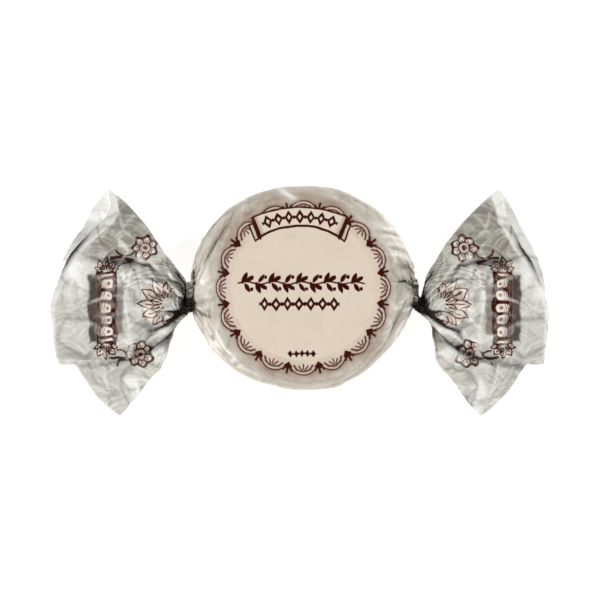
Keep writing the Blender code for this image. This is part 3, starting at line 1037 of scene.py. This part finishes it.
def spray(along, across, radius, pitch, spread):
    """Pointed lobes that spread like a shell's ribs, in two tiers: their lines, ground and shading."""
    reach = far_from(along, across)
    way = across.maths("ARCTAN2", along)
    grown = (way * (2 / spread)).maths("COSINE") * 0.3 + 0.74
    shown = inside(spread - abs(way), 0.2)
    tiers = []
    for size, shift in ((1, 0), (0.62, 0.5 * pitch)):
        lobe = abs(repeated(way + shift, pitch))
        edge = (lobe * (-0.62 / pitch) + 1) * grown * (size * radius)
        gap = line((0.5 * pitch - lobe) * reach, 0.42)
        tiers += [
            line(reach - edge, 0.54),
            gap * inside(edge - reach) * inside(reach - 0.35 * size * radius),
            line(lobe * reach, 0.3) * inside(0.8 * edge - reach) * inside(reach - 0.5 * size * radius),
        ]
    shading = reach.ramp(-1.2 / (0.9 * radius), 1.2)
    ground = inside(grown * (0.9 * radius) - reach) * inside(reach - 0.3 * radius, 1)
    return most(*tiers) * shown, ground * shown, shading


# The upright bar on each fan: distance out from the neck, the height of its middle and its half sizes
BAR_AT = 19.9
BAR_MIDDLE = -0.6
BAR_HALF = 8.6
BAR_HALF_WIDTH = 2.3
BEAD_PITCH = 2.9
BEAD_HALF_WIDTH = 1.7
BEAD_HALF_HEIGHT = 1.25

# The dark strip outside the bar and the grey one inside it: distance from the bar, half width, how much
# shorter than the bar each half is, and blur
OUTER_STRIP = (3.4, 1, 0.4, 0.5)
INNER_STRIP = (-3.1, 0.95, 2.2, 0.7)


def bead_bar(x, y):
    """The upright bar of cream beads: its lines, its ground and its shading."""
    near, bead = x - BAR_AT, repeated(y - BAR_MIDDLE, BEAD_PITCH)
    column = box(x, y, (BAR_AT, BAR_MIDDLE), BAR_HALF_WIDTH, BAR_HALF)
    wide, high = near / BEAD_HALF_WIDTH, bead / BEAD_HALF_HEIGHT
    rounded = 1 - far_from(wide * wide, high * high).maths("SQRT")
    hatching = line(repeated(near + bead * 0.35, 0.62), 0.26) * inside(near - 0.2)
    lines = most(
        line(rounded, 0.32, 0.12) * inside(column - 0.2),
        line(column - 0.1, 0.6),
        line(abs(bead) - 0.5 * BEAD_PITCH, 0.5) * inside(column),
        line(near + 2, 0.5) * inside(column),
        hatching * inside(least(rounded, column)) * 0.8,
        inside(0.45 - far_from(near + 0.5, bead)) * inside(column) * 0.8,
    )
    return lines, inside(column), (near * 0.35 - bead * 0.2).ramp(1, 0.1)


def bar_strip(x, y, off, half_width, shorter, blur):
    """A soft upright strip beside the bar."""
    return inside(box(x, y, (BAR_AT + off, BAR_MIDDLE), half_width, BAR_HALF - shorter), blur)


# The scrolls: where they are, half their length and how high from the bar's middle both their lines run. A
# tendril is an arc of a circle that ends at a height
SCROLL_AT = 14.6
SCROLL_HALF = 4.3
SCROLL_HEIGHTS = (12, 10.7)
TENDRIL_CENTRE = (15.4, 14.6)
TENDRIL_RADIUS = 2.1
TENDRIL_TOP = 14.4


def scroll(x, y):
    """The scrolls that run from both ends of the bar in to the rosettes, and their tendrils."""
    up = abs(y - BAR_MIDDLE)
    wave = (x * 0.8).maths("SINE")
    upper = line(up - SCROLL_HEIGHTS[0] - wave * 0.5, 0.75)
    lower = line(up - SCROLL_HEIGHTS[1] + wave * 0.4, 0.4)
    circle = far_from(x - TENDRIL_CENTRE[0], up - TENDRIL_CENTRE[1]) - TENDRIL_RADIUS
    tendril = line(circle, 0.42) * inside(TENDRIL_TOP - up)
    return most(most(upper, lower) * inside(SCROLL_HALF - abs(x - SCROLL_AT)), tendril)


# The stripes that hang: the middle and half of their length, the height that they bend up from and how far,
# and half their width together. Those along the side lie past a way, and end at a distance from the neck
HANG_AT = 10.9
HANG_HALF = 5.6
HANG_FROM = 4.6
HANG_BEND = 3.1
HANG_HALF_WIDTH = 2.1
SIDE_STRIPES_FROM = 0.72
SIDE_STRIPES_END = 12.6


def drapes(x, y):
    """Soft stripes: some hang from the top of the bar to the neck, and some run along the fan's top side."""
    hang = y - HANG_FROM - (x * 0.19).maths("SINE") * HANG_BEND
    stripes = line(repeated(hang, 1.15), 0.4, 0.3) * inside(HANG_HALF_WIDTH - abs(hang - 0.6), 0.3)
    stripes = stripes * inside(HANG_HALF - abs(x - HANG_AT), 0.6)
    reach, way = far_from(x, y), y.maths("ARCTAN2", x)
    side = line(repeated(way * reach, 1.2), 0.45, 0.3)
    side = side * inside(way - SIDE_STRIPES_FROM, 0.05) * inside(SIDE_STRIPES_END - reach, 0.8)
    return most(stripes, side)


def paint(red, green, blue):
    """Linear colour of a paint given by its 8-bit screen values."""
    return (*(((value / 255 + 0.055) / 1.055) ** 2.4 for value in (red, green, blue)), 1)


CREAM = paint(222, 206, 189)
CREAM_DEEP = paint(214, 197, 178)
LACE_GROUND = paint(216, 199, 183)
LACE_BROWN = paint(84, 36, 22)
BROWN = paint(58, 18, 6)
GARLAND_BROWN = paint(54, 10, 2)
BODY_PAPER = paint(194, 186, 173)
BODY_TINT = paint(174, 157, 141)
FAN_PAPER = paint(205, 203, 195)
FAN_PAPER_DARK = paint(180, 176, 167)
FAN_ARCS = paint(224, 222, 214)
# Painted highlights and paler patches on the fans' paper
FAN_PAINTED_HIGHLIGHT = paint(244, 243, 238)
# Painted shade over the fans' upper part
FAN_PAINTED_SHADE = paint(146, 142, 131)
FAN_CREAM = paint(240, 224, 210)
FAN_TAN = paint(166, 138, 120)
FAN_TAUPE = paint(66, 52, 45)
# Grey of the printed inner strip and stripes, also painted as shade near the neck
FAN_GREY = paint(118, 109, 101)
BARE_MARGIN = paint(240, 239, 234)
INNER_PAPER = paint(234, 232, 226)
# The dark painted as shade into folds, creases, knots and under the edges that lap over
PAINTED_SHADE_DARK = paint(24, 18, 15)
# White of the worn wax on ridges, also laid there as painted highlight
WORN_WAX_AND_HIGHLIGHT = paint(246, 244, 238)

# The paper's finish: roughness and how much its fibres vary it, sheen, and the depth of its relief
ROUGHNESS = 0.3
ROUGHNESS_RANGE = 0.12
COAT_ROUGHNESS = 0.3
COAT = 0.4
SPECULAR = 0.3
RELIEF_DEPTH = 0.4
INK_MATT = 0.8

# How far the print strays from its true place, on the label and on the fans
LABEL_SWAY = 0.6
FAN_SWAY = 1.7


class Paper:
    """A material being made: its tree, its colour so far and the places that its patterns are drawn from."""

    def __init__(self, name, ground, sway):
        self.material = bpy.data.materials.new(name)
        self.material.use_nodes = True
        self.tree = self.material.node_tree
        self.colour = ground
        scaled = self.node("VectorMath")
        scaled.operation = "SCALE"
        scaled.inputs["Scale"].default_value = 1 / MM
        self.link(self.node("TexCoord").outputs["Object"], scaled.inputs[0])
        self.place = scaled.outputs["Vector"]
        uv, parts = self.node("UVMap"), self.node("SeparateXYZ")
        uv.uv_map = "print"
        self.link(uv.outputs["UV"], parts.inputs[0])
        self.x, self.y = (
            Amount(self.tree, parts.outputs[axis]) + (self.clouds(size, 2) - 0.5) * sway
            for axis, size in (("X", 3.4), ("Y", 4.1))
        )

    def node(self, kind):
        return self.tree.nodes.new("ShaderNode" + kind)

    def link(self, source, slot):
        self.tree.links.new(source, slot)

    def clouds(self, size, detail=3):
        """Soft noise from 0 to 1 with blotches of about this size."""
        node = self.node("TexNoise")
        node.inputs["Scale"].default_value = 1 / size
        node.inputs["Detail"].default_value = detail
        self.link(self.place, node.inputs["Vector"])
        return Amount(self.tree, node.outputs["Fac"])

    def mark(self, name):
        """What one of the mesh's marks says at each point."""
        node = self.node("Attribute")
        node.attribute_name = name
        return Amount(self.tree, node.outputs["Fac"])

    def lay(self, amount, over):
        """Lays a colour over what is there by this amount."""
        node = self.node("Mix")
        node.data_type = "RGBA"
        self.link(amount.socket, node.inputs["Factor"])
        under_slot, over_slot = (slot for slot in node.inputs if slot.type == "RGBA")
        over_slot.default_value = over
        if isinstance(self.colour, tuple):
            under_slot.default_value = self.colour
        else:
            self.link(self.colour, under_slot)
        self.colour = next(slot for slot in node.outputs if slot.type == "RGBA")

    def bare_margin(self):
        """The unprinted margin along the paper's cut edge, down to where the fan's lower corner starts."""
        width = self.y * 0.06 + 1.2
        shown = inside(self.y + self.x * 0.46, 0.5) * 0.85
        self.lay(inside(width - self.mark("from_edge"), 0.7) * shown, BARE_MARGIN)

    def finish(self, waxed=1):
        """Gives the paper the shade painted into its folds, the wax cracked white on their ridges together
        with painted highlights there, its sheen, dimmed where shade is painted, and its fibres.
        """
        # Ridges whitened as worn wax and as painted highlight
        self.lay(self.mark("fold_wear_and_highlight") * 0.95, WORN_WAX_AND_HIGHLIGHT)
        # Shade painted into the folds
        self.lay(self.mark("fold_shade") * 0.96, PAINTED_SHADE_DARK)
        fibre, wrinkle = self.clouds(0.35, 2), self.clouds(2.4, 4)
        bump = self.node("Bump")
        bump.inputs["Strength"].default_value = 0.5
        bump.inputs["Distance"].default_value = RELIEF_DEPTH * MM
        self.link((fibre * 0.05 + wrinkle * 0.35).socket, bump.inputs["Height"])
        # Less sheen and coat where shade is painted
        lit = (1 - self.mark("fold_shade")) * waxed
        slots = self.tree.nodes["Principled BSDF"].inputs
        slots["Coat Roughness"].default_value = COAT_ROUGHNESS
        self.link(self.colour, slots["Base Color"])
        self.link(((fibre + wrinkle) * ROUGHNESS_RANGE + ROUGHNESS).socket, slots["Roughness"])
        self.link(bump.outputs["Normal"], slots["Normal"])
        self.link((lit * SPECULAR).socket, slots["Specular IOR Level"])
        self.link((lit * COAT).socket, slots["Coat Weight"])
        return self.material


# The label's rows of ornament. Each row of lozenges: its middle, pitch, half width and half height of a
# lozenge, radius of a dot and half the row's length
GARLAND_MIDDLE = (-0.45, 1.25)
LOZENGE_ROWS = (
    ((-1, -3.85), 2.8, 1.2, 1.75, 0.5, 9.75),
    ((-0.35, -15.85), 1.4, 0.6, 0.95, 0.26, 3.4),
)


def label_paper():
    """The paper over the biscuit: tinted brown round the lace, fading further out, more over the upper left
    of the rim and less towards the ends, with the round label on top.
    """
    paper = Paper("label_paper", BODY_PAPER, LABEL_SWAY)
    x, y = paper.x, paper.y
    lines, arrows, tint, ground, radius = lace(x, y)
    band, ribbon_lines, ribbon_shade, ribbon_row = ribbon(x, y)
    open_lace = 1 - band
    rows = most(
        ribbon_row,
        garland(x - GARLAND_MIDDLE[0], y - GARLAND_MIDDLE[1]),
        *(lozenge_row(x - middle[0], y - middle[1], *sizes) for middle, *sizes in LOZENGE_ROWS),
    )
    mottle = paper.clouds(5)
    at_ends = (abs(x * 0.95 + y * 0.3) - 14).ramp(0.17)
    upper_left = (y * 0.77 - x * 0.64 - 13).ramp(0.12)
    brown_tint = mottle * 2.2 - at_ends * 0.9 + upper_left * 0.7 - radius * 0.45
    paper.lay(brown_tint.ramp(1, 9.6), BODY_TINT)
    paper.lay(ground * open_lace * (mottle + 0.42), LACE_GROUND)
    paper.lay(most(inside(LABEL_RADIUS - radius, 0.5), band), CREAM)
    paper.lay((mottle - 0.42).ramp(1.6) * inside(LABEL_RADIUS + 0.5 - radius), CREAM_DEEP)
    paper.lay(tint * open_lace * 0.25, LACE_BROWN)
    paper.lay(lines * open_lace * 0.92, LACE_BROWN)
    paper.lay(arrows * open_lace, BROWN)
    paper.lay(ribbon_shade * 0.5, LACE_BROWN)
    paper.lay(ribbon_lines, BROWN)
    paper.lay(rows, GARLAND_BROWN)
    ink = most(rows, ribbon_lines, most(lines, arrows) * open_lace)
    return paper.finish(1 - ink * INK_MATT)


# The shade painted over the upper part of the fans, and the highlights and paler patches painted on their
# paper: middle, half widths and amount
FAN_SHADE_PATCH = ((16.5, 18.5), (13, 11))
HIGHLIGHT_PLACES = (
    ((28, 7), (4.6, 6.4), 1),
    ((14, -22.4), (2.8, 6.4), 0.9),
    ((26, 19), (3, 8), 0.5),
    ((13.5, 1), (3.4, 6), 0.8),
    ((5.2, -3.3), (3.4, 1.5), 1.2),
    ((8, -12.2), (4, 3), 0.9),
)

# The sprays at the bar's ends and at the neck: radius, pitch of the lobes and half the angle that they fill
BAR_SPRAY = (3.8, 0.62, 1.75)
NECK_SPRAY = (7.4, 0.48, 1.9)
NECK_SPRAY_FROM = (4.6, 0.4)


def fan_paper():
    """The printed side of the fans, with painted shade and painted highlights on its paper."""
    paper = Paper("fan_paper", FAN_PAPER, FAN_SWAY)
    x, y = paper.x, paper.y
    mottle, patchy = paper.clouds(5), paper.clouds(3)
    paper.lay(mottle.ramp(2, -0.6), FAN_PAPER_DARK)
    painted_shade = patch(x, y, *FAN_SHADE_PATCH)
    paper.lay(painted_shade, FAN_PAINTED_SHADE)
    blotches = patchy.ramp(5, -2) * 0.7 + 0.3
    for middle, radii, amount in HIGHLIGHT_PLACES:
        paper.lay(patch(x, y, middle, radii) * blotches * amount, FAN_PAINTED_HIGHLIGHT)
    paper.lay(scale_arcs(x, y) * patchy.ramp(2.4, -0.65) * (0.8 - painted_shade * 0.4), FAN_ARCS)
    strip = bar_strip(x, y, *OUTER_STRIP)
    paper.lay(strip * 0.92, FAN_TAUPE)
    # Shade painted grey towards the neck
    neck_painted_shade = (4.5 - far_from(x, y)).ramp(0.14)
    paper.lay(most(bar_strip(x, y, *INNER_STRIP) * 0.8, neck_painted_shade), FAN_GREY)
    paper.lay(drapes(x, y) * 0.6, FAN_GREY)
    paper.lay(scroll(x, y), BROWN)
    motifs = (
        spray(abs(y - BAR_MIDDLE) - BAR_HALF, x - BAR_AT, *BAR_SPRAY),
        bead_bar(x, y),
        *(rosette(x, y, *place) for place in ROSETTES),
        spray(x - NECK_SPRAY_FROM[0], y - NECK_SPRAY_FROM[1], *NECK_SPRAY),
    )
    ink = strip
    for lines, ground, shading in motifs:
        paper.lay(ground, FAN_CREAM)
        paper.lay(ground * shading * 0.75, FAN_TAN)
        paper.lay(lines * patchy.ramp(0.9, 0.5), BROWN)
        ink = most(ink, lines)
    paper.bare_margin()
    return paper.finish(1 - ink * INK_MATT)


def inner_paper():
    """The plain side of the fans, where the print barely shows through."""
    paper = Paper("inner_paper", INNER_PAPER, FAN_SWAY)
    paper.lay(paper.clouds(5).ramp(2, -0.7) * 0.7, FAN_PAPER)
    paper.lay(scale_arcs(paper.x, paper.y) * 0.25, FAN_ARCS)
    paper.bare_margin()
    return paper.finish()


def in_scene(name, data):
    """A new object in the scene that holds this data."""
    thing = bpy.data.objects.new(name, data)
    bpy.context.scene.collection.objects.link(thing)
    return thing


def place_piece(name, mesh, materials):
    """Adds the piece, which stands for the wrapper's solid and moves with it."""
    mesh.shade_smooth()
    for material in materials:
        mesh.materials.append(material)
    piece = in_scene(name, mesh)
    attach(piece, "root")
    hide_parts("wrapped_mantecado")
    return piece


def faces_down(mesh):
    """Whether an open sheet's front layer faces the table."""
    front = (face for face in mesh.polygons if face.center.z > (NECK_HEIGHT + 1) * MM)
    return sum(face.normal.z * face.area for face in front) < 0


def wrap():
    """Makes the three pieces of the wrapper."""
    printed, inner = fan_paper(), inner_paper()
    mesh = paper_mesh("wrapper_body", *body_surface())
    edit(mesh, weld)
    place_piece("wrapper_body", mesh, [label_paper()])
    for side, end in ENDS.items():
        mesh = paper_mesh("wrapper_fan_" + side, *fan_surface(end))
        if faces_down(mesh):
            edit(mesh, turn_over)
        fan = place_piece("wrapper_fan_" + side, mesh, [printed, inner])
        sheet = fan.modifiers.new("paper", "SOLIDIFY")
        sheet.thickness = PAPER_THICKNESS * MM
        sheet.offset = -1
        sheet.material_offset = 1


# The photograph's frame: its width at the middle of the wrapper's height, and where its centre is
PHOTO_WIDTH = 147.8
PHOTO_CENTRE = (0.25, -0.06)
PHOTO_PLANE = 8
LENS = 100
SENSOR = 36

# The studio's lights, which aim at the wrapper: place and power
LIGHTS = {"key": ((-440, -280, 360), 3.5), "fill": ((460, 260, 360), 2.9)}
LIGHT_SIZE = 200

# Brightness of the studio's walls, of its ceiling and of its floor, which glows a little
SKY_LEVEL = 0.5
SKY_OVERHEAD = 0.03
FLOOR_HALF_SIZE = 3000
FLOOR_ROUGHNESS = 0.9
FLOOR_GREY = 0.86
FLOOR_GLOW = 0.7
WHITE = (1, 1, 1, 1)


def sky():
    """Soft light all round, brighter at the walls than overhead."""
    world = bpy.data.worlds.new("studio")
    world.use_nodes = True
    tree = world.node_tree
    background = tree.nodes["Background"]
    background.inputs["Color"].default_value = WHITE
    direction, parts = tree.nodes.new("ShaderNodeTexCoord"), tree.nodes.new("ShaderNodeSeparateXYZ")
    tree.links.new(direction.outputs["Generated"], parts.inputs[0])
    strength = Amount(tree, parts.outputs["Z"]).maths("MULTIPLY_ADD", SKY_OVERHEAD - SKY_LEVEL, SKY_LEVEL)
    tree.links.new(strength.socket, background.inputs["Strength"])
    bpy.context.scene.world = world


def pale_floor():
    """The floor that the wrapper lies on."""
    mesh = grid_mesh("floor", 1, 1, FLOOR_HALF_SIZE * MM)
    material = bpy.data.materials.new("floor")
    material.use_nodes = True
    slots = material.node_tree.nodes["Principled BSDF"].inputs
    slots["Base Color"].default_value = (FLOOR_GREY, FLOOR_GREY, FLOOR_GREY, 1)
    slots["Roughness"].default_value = FLOOR_ROUGHNESS
    slots["Specular IOR Level"].default_value = 0
    slots["Emission Color"].default_value = WHITE
    slots["Emission Strength"].default_value = FLOOR_GLOW
    mesh.materials.append(material)
    floor = in_scene("floor", mesh)


def soft_light(name, place, power):
    data = bpy.data.lights.new(name, "AREA")
    data.shape, data.size, data.energy = "DISK", LIGHT_SIZE * MM, power
    light = in_scene(name, data)
    light.location = Vector(place) * MM
    light.rotation_euler = (-Vector(place)).to_track_quat("-Z", "Y").to_euler()


def photo_camera():
    """The camera straight above, where the photograph was taken from."""
    data = bpy.data.cameras.new("photo_camera")
    data.lens, data.sensor_width = LENS, SENSOR
    camera = in_scene("photo_camera", data)
    camera.location = Vector((*PHOTO_CENTRE, PHOTO_PLANE + PHOTO_WIDTH * LENS / SENSOR)) * MM
    bpy.context.scene.camera = camera


def studio():
    """A pale floor, soft light and the camera."""
    bpy.context.scene.view_settings.view_transform = "Standard"
    sky()
    pale_floor()
    for name, (place, power) in LIGHTS.items():
        soft_light(name, place, power)
    photo_camera()


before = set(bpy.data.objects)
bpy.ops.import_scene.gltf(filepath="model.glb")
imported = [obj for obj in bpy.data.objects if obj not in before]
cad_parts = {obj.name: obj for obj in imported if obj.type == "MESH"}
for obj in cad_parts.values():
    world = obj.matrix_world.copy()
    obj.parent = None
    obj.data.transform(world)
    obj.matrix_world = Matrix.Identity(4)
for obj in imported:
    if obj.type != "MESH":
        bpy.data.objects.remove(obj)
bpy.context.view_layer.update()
wrap()
studio()
bpy.context.view_layer.update()
